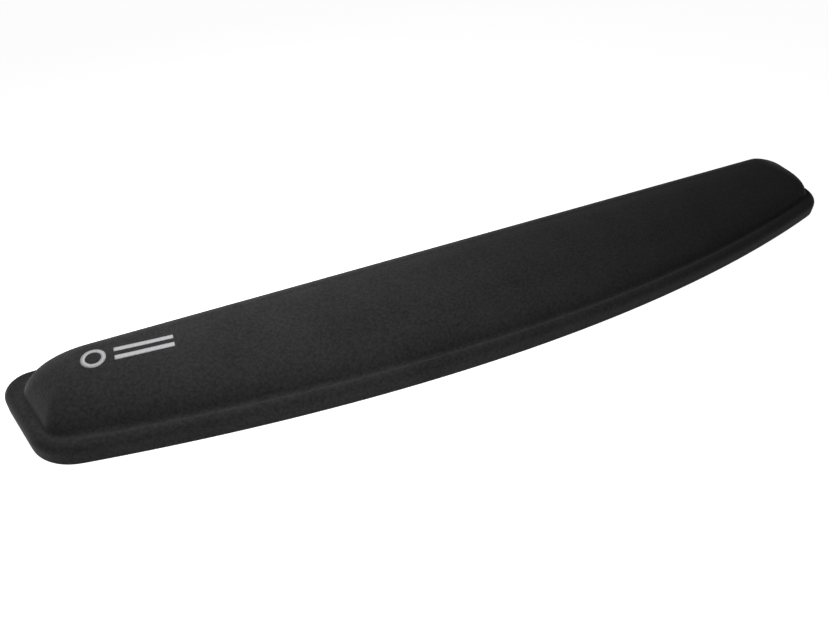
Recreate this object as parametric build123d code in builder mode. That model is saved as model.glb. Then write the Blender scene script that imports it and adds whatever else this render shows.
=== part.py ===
"""Keyboard wrist rest: a gel pillow on a foam tray, under one stretched fabric cover.

Frame: millimetres, +X along the rest, +Y towards the keyboard, +Z up.
The origin is the middle of the underside, on the table.
"""
import os
from math import cos, radians, sin, tan

from build123d import *

os.makedirs("parts", exist_ok=True)

# Plan of the whole rest
length = 460.0
depth = 79.0
front_bow = 26.8        # how far the middle of the front edge stands out past its ends
end_slant = 13.4        # degrees: the ends run outwards towards the keyboard
back_corner = 10.8
front_corner = 21.2

# Rim round the pillow, and the groove between them
rim_width = 6.0         # from the edge to the middle of the groove
rim_height = 10.0
rim_round = 4.2         # outer top edge of the rim
rim_inner_round = 1.3
groove_level = 8.2
groove_width = 0.6

# Pillow
crest_height = 25.2
back_rounding = 14.0    # from the groove to the crest, on the keyboard side
end_rounding = 30.0     # from the groove to the crest, at each end
crown_sections = 8      # outlines that the pillow is lofted through
crown_turn = 82.0       # degrees of a quarter ellipse, from the groove to the flat top
pillow_back_corner = 10.5
pillow_front_corner = 8.8
least_corner = 1.0
back_corner_share = 0.45   # of a section's end, the most that a corner's radius may be
front_corner_share = 0.55

# Layers, from the table up
base_thickness = 1.0
base_inset = 1.5        # from the cover's edge in to the edge of the base
tape = 0.15             # double-sided film above and below the board
board_thickness = 1.2
fabric = 0.6
hem_width = 9.0         # the cover's edge, turned in under the board
hem_clearance = 0.3
glue_line = 0.05        # sprayed glue between the cover and what it covers
film = 0.25             # skin of the gel pouch
flange_width = 4.0      # welded edge of the gel pouch
pocket_depth = 2.5      # how far the pouch sits down into the tray
pouch_clearance = 0.2

# Print on the pillow: a ring with two bars beside it
print_thickness = 0.08
print_from_end = 49.0   # from the left end to the middle of the print
print_from_back = 28.0
print_turn = -6.2       # degrees
ring_diameter = 9.6
ring_line = 1.8
bar_length = 23.0
bar_width = 2.2
bar_spacing = 4.4
ring_to_bar = 3.0

# Faces of the layers
front_edge = -depth / 2
back_edge = depth / 2
chord = front_edge + front_bow                  # ends of the bowed front edge
crest_line = back_edge - rim_width - groove_width / 2 - back_rounding
base_tape_top = base_thickness + tape
hem_top = base_tape_top + fabric + glue_line
board_top = base_tape_top + board_thickness
tray_bottom = board_top + tape
under_cover = fabric + glue_line                # depth of what lies against the cover's inside
weld_level = groove_level - under_cover - film  # where the two skins of the pouch meet
seat_level = weld_level - film
pocket_floor = seat_level - pocket_depth
rim_inner = rim_width - groove_width / 2
flange_edge = rim_inner - under_cover + pouch_clearance
pocket_edge = flange_edge + flange_width
print_centre = Location((print_from_end - length / 2, back_edge - print_from_back, 0), print_turn)


def plan(inset, back_in=0.0, ends_in=0.0, bow=1.0, corners=(back_corner, front_corner)):
    """Outline of the rest, moved in by inset on every side.

    back_in and ends_in move the back and the ends in further. bow draws the front up to the crest line:
    1 leaves it on the inset outline and 0 lays it on the crest. corners are the radii before the inset.
    """
    slant = radians(end_slant)
    back_y = back_edge - inset - back_in
    middle_y = crest_line - (crest_line - front_edge - inset) * bow
    side_y = crest_line - (crest_line - chord - inset) * bow
    back_radius = min(max(corners[0] - inset, least_corner), back_corner_share * (back_y - side_y))
    front_radius = min(max(corners[1] - inset, least_corner), front_corner_share * (back_y - side_y))
    # The rounded back corners are the widest place, so the sharp ones stand out past the length
    per_inset = tan(slant) + 1 / cos(slant)
    back_x = length / 2 + back_corner * (per_inset - 1) - inset * per_inset - back_in * tan(slant) - ends_in
    side_x = back_x - (back_y - side_y) * tan(slant)
    with BuildSketch() as outline:
        with BuildLine():
            Polyline((-side_x, side_y), (-back_x, back_y), (back_x, back_y), (side_x, side_y))
            ThreePointArc((side_x, side_y), (0, middle_y), (-side_x, side_y))
        make_face()
        fillet(outline.vertices().group_by(Axis.Y)[-1], radius=back_radius)
        fillet(outline.vertices().group_by(Axis.Y)[0], radius=front_radius)
    return outline.sketch


def slab(inset, bottom, top):
    """Flat plate with the rest's outline, moved in by inset."""
    with BuildPart() as plate:
        with BuildSketch(Plane.XY.offset(bottom)):
            add(plan(inset))
        extrude(amount=top - bottom)
    return plate.part


def rimmed_tray(inset, bottom, floor):
    """Plate with a rounded rim, moved in by inset under the rest's outer surface."""
    with BuildPart() as tray:
        add(slab(inset, bottom, rim_height - inset))
        add(slab(rim_inner - inset, floor, rim_height), mode=Mode.SUBTRACT)
        rim_top = tray.faces().sort_by(Axis.Z)[-1]
        fillet(rim_top.outer_wire().edges(), radius=rim_round - inset)
        rim_top = tray.faces().filter_by(Plane.XY).sort_by(Axis.Z)[-1]
        fillet(rim_top.inner_wires()[0].edges(), radius=rim_inner_round - inset)
    return tray.part


def pillow(inset):
    """Crowned pillow above the groove, moved in by inset under the rest's outer surface.

    Each section is the outline at one height. Back, ends and front all draw in as an ellipse does, so
    the sides stand upright in the groove and lie level at the crest.
    """
    foot = rim_width + groove_width / 2 + inset
    corners = (pillow_back_corner + foot - inset, pillow_front_corner + foot - inset)
    bottom = groove_level - inset
    rise = (crest_height - groove_level) / sin(radians(crown_turn))
    with BuildPart() as crown:
        for section in range(crown_sections):
            turn = radians(crown_turn) * section / (crown_sections - 1)
            bow = cos(turn)
            back_in = (back_rounding - inset) * (1 - bow)
            ends_in = (end_rounding - inset) * (1 - bow)
            with BuildSketch(Plane.XY.offset(bottom + rise * sin(turn))):
                add(plan(foot, back_in, ends_in, bow, corners))
        loft()
    return crown.part


# Non-slip base: a rubber sheet, the only piece that touches the table
with BuildPart() as non_slip_base:
    add(slab(base_inset, 0, base_thickness))
non_slip_base.part.label = "non_slip_base"
export_step(non_slip_base.part, "parts/non_slip_base.step")

# Tape that holds the base to the board and to the cover's hem
with BuildPart() as base_tape:
    add(slab(base_inset, base_thickness, base_tape_top))
base_tape.part.label = "base_tape"
export_step(base_tape.part, "parts/base_tape.step")

# Board: a stiff plastic plate, stepped at its edge so that the hem lies flush under it
with BuildPart() as stiffener_board:
    add(slab(under_cover, hem_top, board_top))
    add(slab(hem_width + hem_clearance, base_tape_top, hem_top))
stiffener_board.part.label = "stiffener_board"
export_step(stiffener_board.part, "parts/stiffener_board.step")

# Tape that holds the foam tray to the board
with BuildPart() as tray_tape:
    add(slab(under_cover, board_top, tray_bottom))
tray_tape.part.label = "tray_tape"
export_step(tray_tape.part, "parts/tray_tape.step")

# Foam tray: a moulded rim, a seat for the pouch's welded edge and a shallow pocket for the pouch
with BuildPart() as foam_tray:
    add(rimmed_tray(under_cover, tray_bottom, seat_level))
    add(slab(pocket_edge, pocket_floor, seat_level), mode=Mode.SUBTRACT)
foam_tray.part.label = "foam_tray"
export_step(foam_tray.part, "parts/foam_tray.step")

# Lower skin of the gel pouch: a shallow tub with a flat welded edge
with BuildPart() as pouch_lower_film:
    add(slab(flange_edge, seat_level, weld_level))
    add(slab(pocket_edge + pouch_clearance, pocket_floor, seat_level))
    add(slab(pocket_edge + pouch_clearance + film, pocket_floor + film, weld_level), mode=Mode.SUBTRACT)
pouch_lower_film.part.label = "pouch_lower_film"
export_step(pouch_lower_film.part, "parts/pouch_lower_film.step")

# Gel: fills the pouch, from the tub up to the crown
with BuildPart() as gel_pillow:
    add(slab(pocket_edge + pouch_clearance + film, pocket_floor + film, weld_level))
    add(pillow(under_cover + film))
gel_pillow.part.label = "gel_pillow"
export_step(gel_pillow.part, "parts/gel_pillow.step")

# Upper skin of the gel pouch: the crown, welded to the lower skin round its edge
with BuildPart() as pouch_upper_film:
    add(slab(flange_edge, weld_level, weld_level + film))
    add(pillow(under_cover))
    add(pillow(under_cover + film), mode=Mode.SUBTRACT)
pouch_upper_film.part.label = "pouch_upper_film"
export_step(pouch_upper_film.part, "parts/pouch_upper_film.step")

# Cover: one piece of fabric over pillow, groove and rim, with its hem turned in under the board
with BuildPart() as fabric_cover:
    add(rimmed_tray(0, base_tape_top, groove_level))
    add(pillow(0))
    add(rimmed_tray(fabric, base_tape_top, groove_level - fabric), mode=Mode.SUBTRACT)
    add(pillow(fabric), mode=Mode.SUBTRACT)
    with BuildSketch(Plane.XY.offset(base_tape_top)):
        add(plan(0))
        add(plan(hem_width), mode=Mode.SUBTRACT)
    extrude(amount=fabric)
fabric_cover.part.label = "fabric_cover"
export_step(fabric_cover.part, "parts/fabric_cover.step")

# Print: a thin ink film on the cover, near the left end of the crest
with BuildPart() as printed_mark:
    with BuildSketch(Plane.XY.offset(groove_level)):
        with Locations(print_centre):
            with Locations((-(bar_length + ring_to_bar) / 2, 0)):
                Circle(ring_diameter / 2)
                Circle(ring_diameter / 2 - ring_line, mode=Mode.SUBTRACT)
            with Locations(((ring_diameter + ring_to_bar) / 2, 0)):
                with GridLocations(0, bar_spacing, 1, 2):
                    Rectangle(bar_length, bar_width)
    extrude(amount=crest_height)
    add(pillow(-print_thickness), mode=Mode.INTERSECT)
    add(pillow(0), mode=Mode.SUBTRACT)
printed_mark.part.label = "printed_mark"
export_step(printed_mark.part, "parts/printed_mark.step")
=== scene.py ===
from cmath import phase, rect
from math import cos, pi, radians, sin, sqrt, tan

import bmesh
import bpy
from mathutils import Matrix, Vector
from mathutils.bvhtree import BVHTree


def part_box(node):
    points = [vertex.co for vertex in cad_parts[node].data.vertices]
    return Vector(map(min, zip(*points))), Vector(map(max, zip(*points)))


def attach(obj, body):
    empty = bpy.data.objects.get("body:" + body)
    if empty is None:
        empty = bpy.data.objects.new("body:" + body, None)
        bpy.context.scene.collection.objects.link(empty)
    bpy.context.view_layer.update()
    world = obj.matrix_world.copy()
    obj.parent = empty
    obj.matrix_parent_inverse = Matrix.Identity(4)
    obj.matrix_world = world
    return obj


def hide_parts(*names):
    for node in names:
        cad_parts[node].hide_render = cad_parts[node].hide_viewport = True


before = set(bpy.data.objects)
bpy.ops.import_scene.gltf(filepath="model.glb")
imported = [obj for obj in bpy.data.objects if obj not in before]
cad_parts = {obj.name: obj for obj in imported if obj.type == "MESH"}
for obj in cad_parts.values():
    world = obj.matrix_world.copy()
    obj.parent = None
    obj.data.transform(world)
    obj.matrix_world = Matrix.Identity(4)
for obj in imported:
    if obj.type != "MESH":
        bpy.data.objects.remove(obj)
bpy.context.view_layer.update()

MM = 0.001

# Fabric cover
# One piece of charcoal Lycra jersey, pressed in a heated mould over the pillow, down into the groove
# and over the rim. Its edge is turned in and glued under the board.
cover_low, cover_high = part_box("fabric_cover")
crest_level = cover_high.z
front_edge = cover_low.y
back_edge = cover_high.y
half_length = (cover_high.x - cover_low.x) / 2

front_bow = 26.8 * MM       # how far the front edge's middle stands out past its ends
end_slant = radians(13.4)
back_corner = 10.8 * MM
front_corner = 21.2 * MM
least_corner = 1.0 * MM
back_corner_share = 0.45    # of a section's end, the most that a corner's radius may be
front_corner_share = 0.55

rim_level = 10.0 * MM
rim_round = 4.3 * MM
groove_level = 8.2 * MM
groove_rounds = 40          # smoothing turns that round the groove
end_rounds = 24             # further turns near the ends, where it is widest
end_reach = 18 * MM         # how far in from the ends those start; each turn reaches 1 mm further
pillow_inset = 6.3 * MM
pillow_back_corner = 10.5 * MM
pillow_front_corner = 8.8 * MM
back_rounding = 14.0 * MM
end_rounding = 30.0 * MM
cloth_thickness = 0.5 * MM
greatest_swelling = 0.8 * MM
gel_to_skin = 1.15 * MM     # film, glue and jersey, and the little that the gel presses them out

BACK_STEPS = 64             # points along each stretch of half the outline
BACK_CORNER_STEPS = 12
END_STEPS = 10
FRONT_CORNER_STEPS = 11
FRONT_STEPS = 65
HALF_STEPS = BACK_STEPS + BACK_CORNER_STEPS + END_STEPS + FRONT_CORNER_STEPS + FRONT_STEPS
PILLOW_RINGS = 18

chord = front_edge + front_bow
crest_line = back_edge - pillow_inset - back_rounding


def outline(inset, back_in=0.0, ends_in=0.0, bow=1.0, corners=None):
    """Points round the rest, moved in by inset, as complex numbers from the middle of the back.

    back_in and ends_in move the back and the ends in further, and bow draws the front up to the crest.
    """
    back_y = back_edge - inset - back_in
    middle_y = crest_line - (crest_line - front_edge - inset) * bow
    side_y = crest_line - (crest_line - chord - inset) * bow
    back_radius, front_radius = corners or (back_corner - inset, front_corner - inset)
    back_radius = min(max(back_radius, least_corner), back_corner_share * (back_y - side_y))
    front_radius = min(max(front_radius, least_corner), front_corner_share * (back_y - side_y))
    per_inset = tan(end_slant) + 1 / cos(end_slant)
    sharp_x = half_length + back_corner * (per_inset - 1) - inset * per_inset
    sharp_x -= back_in * tan(end_slant) + ends_in
    side = complex(sharp_x - (back_y - side_y) * tan(end_slant), side_y)
    rise = side_y - middle_y
    bow_radius = (side.real**2 + rise**2) / (2 * rise)
    bow_centre = complex(0, middle_y + bow_radius)
    # The front corner's centre lies one radius inside both the slanted end and the bowed front
    foot = side + rect(front_radius, pi - end_slant) - bow_centre
    up_end = rect(1, pi / 2 - end_slant)
    reach = (foot * up_end.conjugate()).real
    excess = abs(foot) ** 2 - (bow_radius - front_radius) ** 2
    front_centre = foot + up_end * excess / (sqrt(reach**2 - excess) - reach)
    front_angle = phase(front_centre)
    back_centre = complex(sharp_x - back_radius * per_inset, back_y - back_radius)
    front_centre += bow_centre

    points = [complex(back_centre.real * i / BACK_STEPS, back_y) for i in range(BACK_STEPS)]
    for i in range(BACK_CORNER_STEPS):
        turn = pi / 2 - (pi / 2 + end_slant) * i / BACK_CORNER_STEPS
        points.append(back_centre + rect(back_radius, turn))
    end_top = back_centre + rect(back_radius, -end_slant)
    end_foot = front_centre + rect(front_radius, -end_slant)
    points += [end_top + (end_foot - end_top) * i / END_STEPS for i in range(END_STEPS)]
    for i in range(FRONT_CORNER_STEPS):
        turn = -end_slant + (front_angle + end_slant) * i / FRONT_CORNER_STEPS
        points.append(front_centre + rect(front_radius, turn))
    for i in range(FRONT_STEPS + 1):
        turn = front_angle - (front_angle + pi / 2) * i / FRONT_STEPS
        points.append(bow_centre + rect(bow_radius, turn))
    left = [-p.conjugate() for p in points[-2:0:-1]]
    return points + left


def placed(ring, level):
    """An outline's points at one height."""
    return [Vector((p.real, p.imag, level)) for p in ring]


# Insets and heights, in mm, from the hem's inner edge under the board, out, up the wall, over the rim
# and into the groove
turned_edge = ((9.0, 1.15), (1.4, 1.15), (1.2, 0.5), (0.8, 0.3), (0.3, 0.4), (0.0, 0.8), (0.0, 1.8))
groove_side = ((5.0, 9.6), (5.5, 8.8), (5.8, 8.0), (6.1, 7.4))
rings = [placed(outline(inset * MM), level * MM) for inset, level in turned_edge]
rings.append(placed(outline(0), rim_level - rim_round - 1.0 * MM))
for turn in (radians(angle) for angle in (0, 18, 36, 54, 72, 90)):
    ring = outline(rim_round * (1 - cos(turn)))
    rings.append(placed(ring, rim_level - rim_round * (1 - sin(turn))))
rim_top = len(rings) - 1
rings += [placed(outline(inset * MM), level * MM) for inset, level in groove_side]
groove_ring = len(rings) - 1
for step in range(PILLOW_RINGS):
    turn = pi / 2 * (step + 0.4) / (PILLOW_RINGS + 0.4)
    shrink = 1 - cos(turn)
    ring = outline(pillow_inset, back_rounding * shrink, end_rounding * shrink, cos(turn),
                   (pillow_back_corner, pillow_front_corner))
    rings.append(placed(ring, groove_level + (crest_level - groove_level) * sin(turn)))
# The last ring closes on the crest line, each point of the back meeting one of the front
points_round = 2 * HALF_STEPS
last = rings[-1]
crest = []
for i in range(points_round):
    partner = (HALF_STEPS - i) % points_round
    crest.append(Vector(((last[i].x + last[partner].x) / 2, crest_line, crest_level)))
rings.append(crest)


def settle(shape, key):
    """Puts a shape's parts in the same order in every run, whatever order the operators leave them in."""
    def lowest_pair(part):
        low, high = sorted(corner.index for corner in part.verts)[:2]
        return low * len(shape.verts) + high

    shape.verts.sort(key=key)
    shape.verts.index_update()
    shape.edges.sort(key=lowest_pair)
    shape.faces.sort(key=lowest_pair)


def in_rings(corner):
    return corner[ring_of] * points_round + corner[place]


skin = bmesh.new()
place = skin.verts.layers.int.new("place")
ring_of = skin.verts.layers.int.new("ring")
corners = [skin.verts.new(point) for point in rings[0]]
for i, corner in enumerate(corners):
    corner[place] = i
edge = [skin.edges.new((corner, corners[(i + 1) % points_round])) for i, corner in enumerate(corners)]
for count, ring in enumerate(rings[1:], 1):
    grown = bmesh.ops.extrude_edge_only(skin, edges=edge)["geom"]
    edge = [part for part in grown if isinstance(part, bmesh.types.BMEdge)]
    for part in grown:
        if isinstance(part, bmesh.types.BMVert):
            part.co = ring[part[place]]
            part[ring_of] = count
settle(skin, in_rings)
# The groove is rounded out, from the rim's top to the seventh ring of the pillow
skin.verts.ensure_lookup_table()
hollow = skin.verts[points_round * rim_top:points_round * (groove_ring + 7)]
every_way = {"factor": 0.5, "use_axis_x": True, "use_axis_y": True, "use_axis_z": True}
for turn in range(groove_rounds):
    bmesh.ops.smooth_vert(skin, verts=hollow, **every_way)
for turn in range(end_rounds):
    end_start = half_length - end_reach - turn * MM
    near_ends = [corner for corner in hollow if abs(corner.co.x) > end_start]
    bmesh.ops.smooth_vert(skin, verts=near_ends, **every_way)
bmesh.ops.remove_doubles(skin, verts=skin.verts, dist=MM / 100)
bmesh.ops.dissolve_degenerate(skin, edges=skin.edges, dist=MM / 100)
settle(skin, in_rings)
bmesh.ops.recalc_face_normals(skin, faces=skin.faces)
top_faces = [face for face in skin.faces if face.calc_center_median().z > rim_level]
if sum(face.normal.z * face.calc_area() for face in top_faces) < 0:
    bmesh.ops.reverse_faces(skin, faces=skin.faces)


def piece(name, shape):
    """A new object from a bmesh, with its place in its mesh."""
    mesh = bpy.data.meshes.new(name)
    shape.to_mesh(mesh)
    shape.free()
    mesh.shade_smooth()
    made = bpy.data.objects.new(name, mesh)
    bpy.context.scene.collection.objects.link(made)
    return made


cover = piece("jersey_cover", skin)
# The jersey is held in the groove and under the rim, and the gel under it presses it out a little
held = cover.vertex_groups.new(name="held by the rim")
held.add(range(points_round * (len(rings) - PILLOW_RINGS)), 1.0, "REPLACE")
before = [v.co.copy() for v in cover.data.vertices]
swelling = cover.modifiers.new("swelling", "CLOTH")
swelling.settings.quality = 8
swelling.settings.mass = 0.25
swelling.settings.tension_stiffness = 40
swelling.settings.compression_stiffness = 40
swelling.settings.shear_stiffness = 20
swelling.settings.bending_stiffness = 5
swelling.settings.use_pressure = True
swelling.settings.uniform_pressure_force = 4
swelling.settings.vertex_group_mass = held.name
swelling.settings.effector_weights.gravity = 0
for step in range(1, 21):
    bpy.context.scene.frame_set(step)
grown = cover.evaluated_get(bpy.context.evaluated_depsgraph_get()).to_mesh()
moves = [after.co - start for after, start in zip(grown.vertices, before)]
for vertex, start, move in zip(cover.data.vertices, before, moves):
    vertex.co = start + move * min(1, greatest_swelling / max(move.length, MM / 1000))
cover.modifiers.remove(swelling)
cover.vertex_groups.clear()
bpy.context.scene.frame_set(1)

# The gel and its pouch hold the jersey out wherever it was smoothed or drawn in too far
lifted = cover.modifiers.new("gel under the jersey", "SHRINKWRAP")
lifted.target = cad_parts["gel_pillow"]
lifted.wrap_method = "NEAREST_SURFACEPOINT"
lifted.wrap_mode = "OUTSIDE"
lifted.offset = gel_to_skin
with bpy.context.temp_override(object=cover, active_object=cover):
    bpy.ops.object.modifier_apply(modifier=lifted.name)

# The cloth as it is cut, flat: one unit of the map is one millimetre
bpy.context.view_layer.objects.active = cover
cover.select_set(True)
bpy.ops.object.mode_set(mode="EDIT")
bpy.ops.mesh.select_all(action="SELECT")
bpy.ops.uv.unwrap(method="ANGLE_BASED", margin=0)
bpy.ops.object.mode_set(mode="OBJECT")
cut = bmesh.new()
cut.from_mesh(cover.data)
flat = cut.loops.layers.uv.verify()
cloth_area = sum(face.calc_area() for face in cut.faces) / MM**2
map_area = 0
ends = [None, None]
for face in cut.faces:
    corners = [loop[flat].uv for loop in face.loops]
    turns = [corners[i - 1].cross(corners[i]) for i in range(len(corners))]
    map_area += abs(sum(turns)) / 2
    for loop in face.loops:
        if ends[0] is None or loop.vert.co.x < ends[0].vert.co.x:
            ends[0] = loop
        if ends[1] is None or loop.vert.co.x > ends[1].vert.co.x:
            ends[1] = loop
grain = ends[1][flat].uv - ends[0][flat].uv
straighten = Matrix.Rotation(Vector((1, 0)).angle_signed(grain), 2) * sqrt(cloth_area / map_area)
for face in cut.faces:
    for loop in face.loops:
        loop[flat].uv = straighten @ loop[flat].uv
cut.to_mesh(cover.data)
cut.free()

smoothing = cover.modifiers.new("smooth cloth", "SUBSURF")
smoothing.levels = 1
smoothing.render_levels = 1
thickening = cover.modifiers.new("cloth thickness", "SOLIDIFY")
thickening.thickness = cloth_thickness
thickening.offset = -1


def srgb(code):
    """Linear colour of an sRGB hex code."""
    values = [int(code[i:i + 2], 16) / 255 for i in (1, 3, 5)]
    return (*[v / 12.92 if v <= 0.04045 else ((v + 0.055) / 1.055) ** 2.4 for v in values], 1)


def node(tree, kind, links=None, **settings):
    """Adds a node, sets its settings and socket values, and links its sockets to outputs."""
    made = tree.nodes.new(kind)
    for key, value in settings.items():
        if hasattr(made, key):
            setattr(made, key, value)
        else:
            made.inputs[key].default_value = value
    for socket, output in (links or {}).items():
        tree.links.new(output, made.inputs[socket])
    return made


def new_material(name):
    """An empty node material and its tree."""
    material = bpy.data.materials.new(name)
    material.use_nodes = True
    material.node_tree.nodes.clear()
    return material, material.node_tree


def finished(tree, shader):
    """Sends the shader to the material's surface."""
    node(tree, "ShaderNodeOutputMaterial", {"Surface": shader.outputs[0]})


# Lycra jersey: a fine warp knit of dull black and charcoal yarn. The eye gets a soft, almost matt
# charcoal with a heathered grain, a fine rib along the rest and a little sheen where it turns away.
wale = 0.9                  # millimetres between ribs: twice the real spacing, so that they show
heather = 1.3 * MM
cloud = 22 * MM
jersey, tree = new_material("Lycra jersey")
here = node(tree, "ShaderNodeTexCoord").outputs["Object"]
cut_map = node(tree, "ShaderNodeUVMap", uv_map=cover.data.uv_layers[0].name).outputs[0]
yarn = node(tree, "ShaderNodeTexNoise", {"Vector": here}, Scale=1 / heather, Detail=2.0, Roughness=0.65)
patch = node(tree, "ShaderNodeTexNoise", {"Vector": here}, Scale=1 / cloud, Detail=3.0, Roughness=0.5)
blend = node(tree, "ShaderNodeMath", {0: patch.outputs[0], 2: yarn.outputs[0]}, operation="MULTIPLY_ADD")
blend.inputs[1].default_value = 0.35
tone = node(tree, "ShaderNodeValToRGB", {"Fac": blend.outputs[0]})
tone.color_ramp.elements[0].position = 0.48
tone.color_ramp.elements[0].color = srgb("#121213")
tone.color_ramp.elements[1].position = 0.84
tone.color_ramp.elements[1].color = srgb("#212122")
ribs = node(tree, "ShaderNodeTexWave", {"Vector": cut_map}, wave_type="BANDS", bands_direction="Y",
            Scale=2 * pi / (20 * wale), Distortion=0.0)
stitches = node(tree, "ShaderNodeTexWave", {"Vector": cut_map}, wave_type="BANDS", bands_direction="X",
                Scale=2 * pi / (20 * wale * 0.8), Distortion=0.0)
loops = node(tree, "ShaderNodeMath", {0: ribs.outputs[1], 1: stitches.outputs[1]}, operation="MULTIPLY")
knit = node(tree, "ShaderNodeBump", {"Height": loops.outputs[0]}, Strength=0.25, Distance=0.12 * MM)
fuzz = node(tree, "ShaderNodeBump", {"Height": yarn.outputs[0], "Normal": knit.outputs[0]},
            Strength=0.5, Distance=0.25 * MM)
woven = {"Base Color": tone.outputs[0], "Normal": fuzz.outputs[0]}
cloth = node(tree, "ShaderNodeBsdfPrincipled", woven, Roughness=0.9, IOR=1.45)
cloth.inputs["Sheen Weight"].default_value = 0.12
cloth.inputs["Sheen Roughness"].default_value = 0.4
cloth.inputs["Specular IOR Level"].default_value = 0.2
finished(tree, cloth)
cover.data.materials.append(jersey)
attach(cover, "root")
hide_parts("fabric_cover")

# Printed mark
# A generic ring with two bars beside it, in pale grey heat-transfer ink: a film with no edge to feel,
# pressed on the cloth near the left end and following its curve.
print_low, print_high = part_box("printed_mark")
print_centre = Vector(((print_low.x + print_high.x) / 2, (print_low.y + print_high.y) / 2, 0))
print_turn = radians(-6.2)
ring_diameter = 9.6 * MM
ring_line = 1.8 * MM
bar_length = 23.0 * MM
bar_width = 2.2 * MM
bar_spacing = 4.4 * MM
ring_to_bar = 3.0 * MM
ink_thickness = 0.06 * MM
RING_STEPS = 72
mark = bmesh.new()
bmesh.ops.create_circle(mark, segments=RING_STEPS, radius=ring_diameter / 2)
outer = list(mark.edges)
inner = bmesh.ops.extrude_edge_only(mark, edges=outer)["geom"]
inner = [part for part in inner if isinstance(part, bmesh.types.BMVert)]
bmesh.ops.scale(mark, vec=Vector((1, 1, 1)) * (1 - 2 * ring_line / ring_diameter), verts=inner)
bmesh.ops.translate(mark, vec=(-(bar_length + ring_to_bar) / 2, 0, 0), verts=mark.verts)
for side in (-1, 1):
    to_bar = Matrix.Translation(((ring_diameter + ring_to_bar) / 2, side * bar_spacing / 2, 0))
    shape = to_bar @ Matrix.Diagonal((bar_length / 2, bar_width / 2, 1, 1))
    bmesh.ops.create_grid(mark, x_segments=46, y_segments=4, size=1, matrix=shape)
bmesh.ops.rotate(mark, cent=(0, 0, 0), matrix=Matrix.Rotation(print_turn, 3, "Z"), verts=mark.verts)
bmesh.ops.translate(mark, vec=print_centre, verts=mark.verts)
cloth_surface = BVHTree.FromObject(cover, bpy.context.evaluated_depsgraph_get())
for vertex in mark.verts:
    above = vertex.co + Vector((0, 0, 2 * crest_level))
    vertex.co = cloth_surface.ray_cast(above, Vector((0, 0, -1)))[0] + Vector((0, 0, MM / 100))
bmesh.ops.recalc_face_normals(mark, faces=mark.faces)
if sum(face.normal.z for face in mark.faces) < 0:
    bmesh.ops.reverse_faces(mark, faces=mark.faces)
settle(mark, lambda corner: corner.co.x * 1000 + corner.co.y)
emblem = piece("generic_mark", mark)
thickening = emblem.modifiers.new("ink thickness", "SOLIDIFY")
thickening.thickness = ink_thickness
thickening.offset = 1

# Heat-transfer ink: pale grey and dull, slightly uneven where the knit shows through it
ink, tree = new_material("Heat-transfer ink")
here = node(tree, "ShaderNodeTexCoord").outputs["Object"]
knit_through = node(tree, "ShaderNodeTexNoise", {"Vector": here}, Scale=1 / (0.5 * MM), Detail=2.0)
tone = node(tree, "ShaderNodeValToRGB", {"Fac": knit_through.outputs[0]})
tone.color_ramp.elements[0].position = 0.3
tone.color_ramp.elements[0].color = srgb("#7b7b7d")
tone.color_ramp.elements[1].position = 0.7
tone.color_ramp.elements[1].color = srgb("#8d8d8e")
through = {"Height": knit_through.outputs[0]}
dents = node(tree, "ShaderNodeBump", through, Strength=0.3, Distance=0.1 * MM)
pressed = {"Base Color": tone.outputs[0], "Normal": dents.outputs[0]}
film = node(tree, "ShaderNodeBsdfPrincipled", pressed, Roughness=0.6, IOR=1.5)
finished(tree, film)
emblem.data.materials.append(ink)
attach(emblem, "root")
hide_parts("printed_mark")


def grained(name, dark, light, grain, relief, kind="ShaderNodeTexNoise", **sockets):
    """A material mottled from dark to light at a grain size, raised by relief, in metres."""
    material, tree = new_material(name)
    here = node(tree, "ShaderNodeTexCoord").outputs["Object"]
    pattern = node(tree, kind, {"Vector": here}, Scale=1 / grain)
    tone = node(tree, "ShaderNodeValToRGB", {"Fac": pattern.outputs[0]})
    tone.color_ramp.elements[0].position = 0.25
    tone.color_ramp.elements[0].color = srgb(dark)
    tone.color_ramp.elements[1].position = 0.75
    tone.color_ramp.elements[1].color = srgb(light)
    bumps = {"Height": pattern.outputs[0]}
    raised = node(tree, "ShaderNodeBump", bumps, Strength=0.6, Distance=relief)
    faces = {"Base Color": tone.outputs[0], "Normal": raised.outputs[0]}
    body = node(tree, "ShaderNodeBsdfPrincipled", faces)
    for socket, value in sockets.items():
        body.inputs[socket.replace("_", " ")].default_value = value
    finished(tree, body)
    return material, tree, body


def faced(node_name, material):
    """Gives a CAD node its material."""
    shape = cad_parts[node_name].data
    shape.materials.clear()
    shape.materials.append(material)


# Non-slip base
# A sheet of black rubber, the only piece on the table, taped under the board. Its underside is
# pressed with a fine square grid.
# Natural rubber: dull, warm black with a faint bloom, and small square dents in rows.
grid_pitch = 1.6 * MM
rubber, tree, body = grained("Natural rubber", "#181817", "#242322", 2.5 * MM, 0.05 * MM,
                             Roughness=0.75, IOR=1.52)
here = node(tree, "ShaderNodeTexCoord").outputs["Object"]
rows = [node(tree, "ShaderNodeTexWave", {"Vector": here}, wave_type="BANDS", bands_direction=way,
             Scale=2 * pi / (20 * grid_pitch)) for way in ("X", "Y")]
grid = node(tree, "ShaderNodeMath", {0: rows[0].outputs[1], 1: rows[1].outputs[1]}, operation="MAXIMUM")
relief = {"Height": grid.outputs[0], "Normal": body.inputs["Normal"].links[0].from_socket}
pressed = node(tree, "ShaderNodeBump", relief, Strength=0.8, Distance=0.25 * MM)
tree.links.new(pressed.outputs[0], body.inputs["Normal"])
faced("non_slip_base", rubber)

# Tapes
# Two layers of double-sided acrylic film tape, one on each face of the board.
# Acrylic transfer tape: yellowish white and slightly glossy, with cloudy patches in the adhesive.
tape = grained("Acrylic transfer tape", "#cdc7b2", "#dcd7c6", 3 * MM, 0.02 * MM,
               Roughness=0.35, IOR=1.47)[0]
faced("base_tape", tape)
faced("tray_tape", tape)

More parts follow.
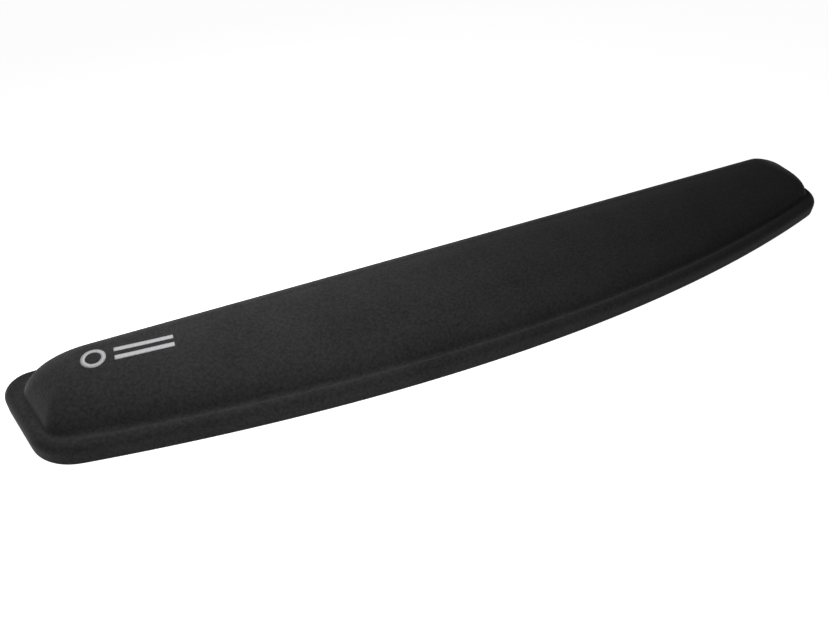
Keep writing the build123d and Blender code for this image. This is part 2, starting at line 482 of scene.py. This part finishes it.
# Stiffener board
# A black polypropylene plate, stepped at its edge so that the cover's hem lies flush under it.
# Polypropylene: smooth satin black with the fine grain of a pressed sheet.
plastic = grained("Polypropylene", "#1c1c1d", "#272729", 0.8 * MM, 0.03 * MM,
                  Roughness=0.45, IOR=1.49)[0]
faced("stiffener_board", plastic)

# Foam tray
# Closed-cell polyurethane foam, moulded with the rim, a seat for the pouch's weld and a pocket for it.
# Polyurethane foam: matt dark grey, pitted with small closed cells.
foam = grained("Polyurethane foam", "#2b2b2d", "#454547", 0.7 * MM, 0.3 * MM,
               kind="ShaderNodeTexVoronoi", Roughness=0.95, IOR=1.4)[0]
faced("foam_tray", foam)

# Gel pouch
# Two skins of clear polyurethane film, welded together at their edge and filled with soft gel.
# Polyurethane film: clear and a little milky, with a soft shine. Silicone gel: pale blue and glassy.
skin_film = grained("Polyurethane film", "#dfe4e8", "#eef1f3", 6 * MM, 0.03 * MM,
                    Roughness=0.25, IOR=1.5, Transmission_Weight=0.7)[0]
faced("pouch_lower_film", skin_film)
faced("pouch_upper_film", skin_film)
gel = grained("Silicone gel", "#a9c2d2", "#c3d5e0", 12 * MM, 0.05 * MM,
              Roughness=0.15, IOR=1.41, Transmission_Weight=0.6)[0]
faced("gel_pillow", gel)

# Camera
# Low over the left end, looking along the rest, with the near end large.
camera_turn = radians(-29.119)
camera_rise = radians(37.019)
camera_roll = radians(1.03)
camera_distance = 347.0 * MM
camera_lens = 30.02
aim_right = -50.225 * MM
aim_up = -15.096 * MM
aim_level = 8.0 * MM
sideways = cos(camera_rise)
back_way = Vector((sin(camera_turn) * sideways, -cos(camera_turn) * sideways, sin(camera_rise)))
level_right = Vector((cos(camera_turn), sin(camera_turn), 0))
level_up = level_right.cross(-back_way)
aim = Vector((0, 0, aim_level)) + level_right * aim_right + level_up * aim_up
right_way = cos(camera_roll) * level_right + sin(camera_roll) * level_up
up_way = -sin(camera_roll) * level_right + cos(camera_roll) * level_up
camera = bpy.data.objects.new("camera", bpy.data.cameras.new("camera"))
bpy.context.scene.collection.objects.link(camera)
camera.data.lens = camera_lens
camera.data.clip_start = 0.01
turned = Matrix((right_way, up_way, back_way)).transposed().to_4x4()
camera.matrix_world = Matrix.Translation(aim + back_way * camera_distance) @ turned
bpy.context.scene.camera = camera

# Floor and light
# A white paper floor and background, a soft light over the left half and a weaker one in front.
def strength(tree, socket, thrown, shown):
    """The background looks brighter than the light that it throws on the rest, as if lit apart."""
    seen = node(tree, "ShaderNodeLightPath").outputs["Is Camera Ray"]
    glow = node(tree, "ShaderNodeMapRange", {"Value": seen})
    glow.inputs["To Min"].default_value = thrown
    glow.inputs["To Max"].default_value = shown
    tree.links.new(glow.outputs[0], socket)


floor_shape = bmesh.new()
bmesh.ops.create_grid(floor_shape, x_segments=1, y_segments=1, size=6.0)
bmesh.ops.translate(floor_shape, vec=(0, 0, -0.1 * MM), verts=floor_shape.verts)
floor = piece("floor", floor_shape)
paper, tree = new_material("White paper sweep")
white = node(tree, "ShaderNodeBsdfPrincipled", Roughness=0.9)
white.inputs["Base Color"].default_value = srgb("#c4c4c4")
white.inputs["Emission Color"].default_value = srgb("#ffffff")
strength(tree, white.inputs["Emission Strength"], 0.35, 0.95)
finished(tree, white)
floor.data.materials.append(paper)

world = bpy.data.worlds.new("studio")
world.use_nodes = True
bpy.context.scene.world = world
sky = world.node_tree.nodes["Background"]
sky.inputs["Color"].default_value = (1, 1, 1, 1)
strength(world.node_tree, sky.inputs["Strength"], 0.03, 0.95)


def softbox(name, position, aim_at, size, power):
    """A rectangular soft light."""
    lamp = bpy.data.lights.new(name, "AREA")
    lamp.shape = "RECTANGLE"
    lamp.size, lamp.size_y = size
    lamp.energy = power
    made = bpy.data.objects.new(name, lamp)
    bpy.context.scene.collection.objects.link(made)
    made.location = position
    made.rotation_euler = (Vector(aim_at) - Vector(position)).to_track_quat("-Z", "Y").to_euler()


softbox("key", (-0.15, 0.11, 0.21), (-0.11, 0.0, 0.0), (0.16, 0.12), 0.84)
softbox("fill", (-0.13, -0.24, 0.16), (-0.11, 0.0, 0.0), (0.20, 0.10), 0.68)
bpy.context.scene.view_settings.view_transform = "Standard"
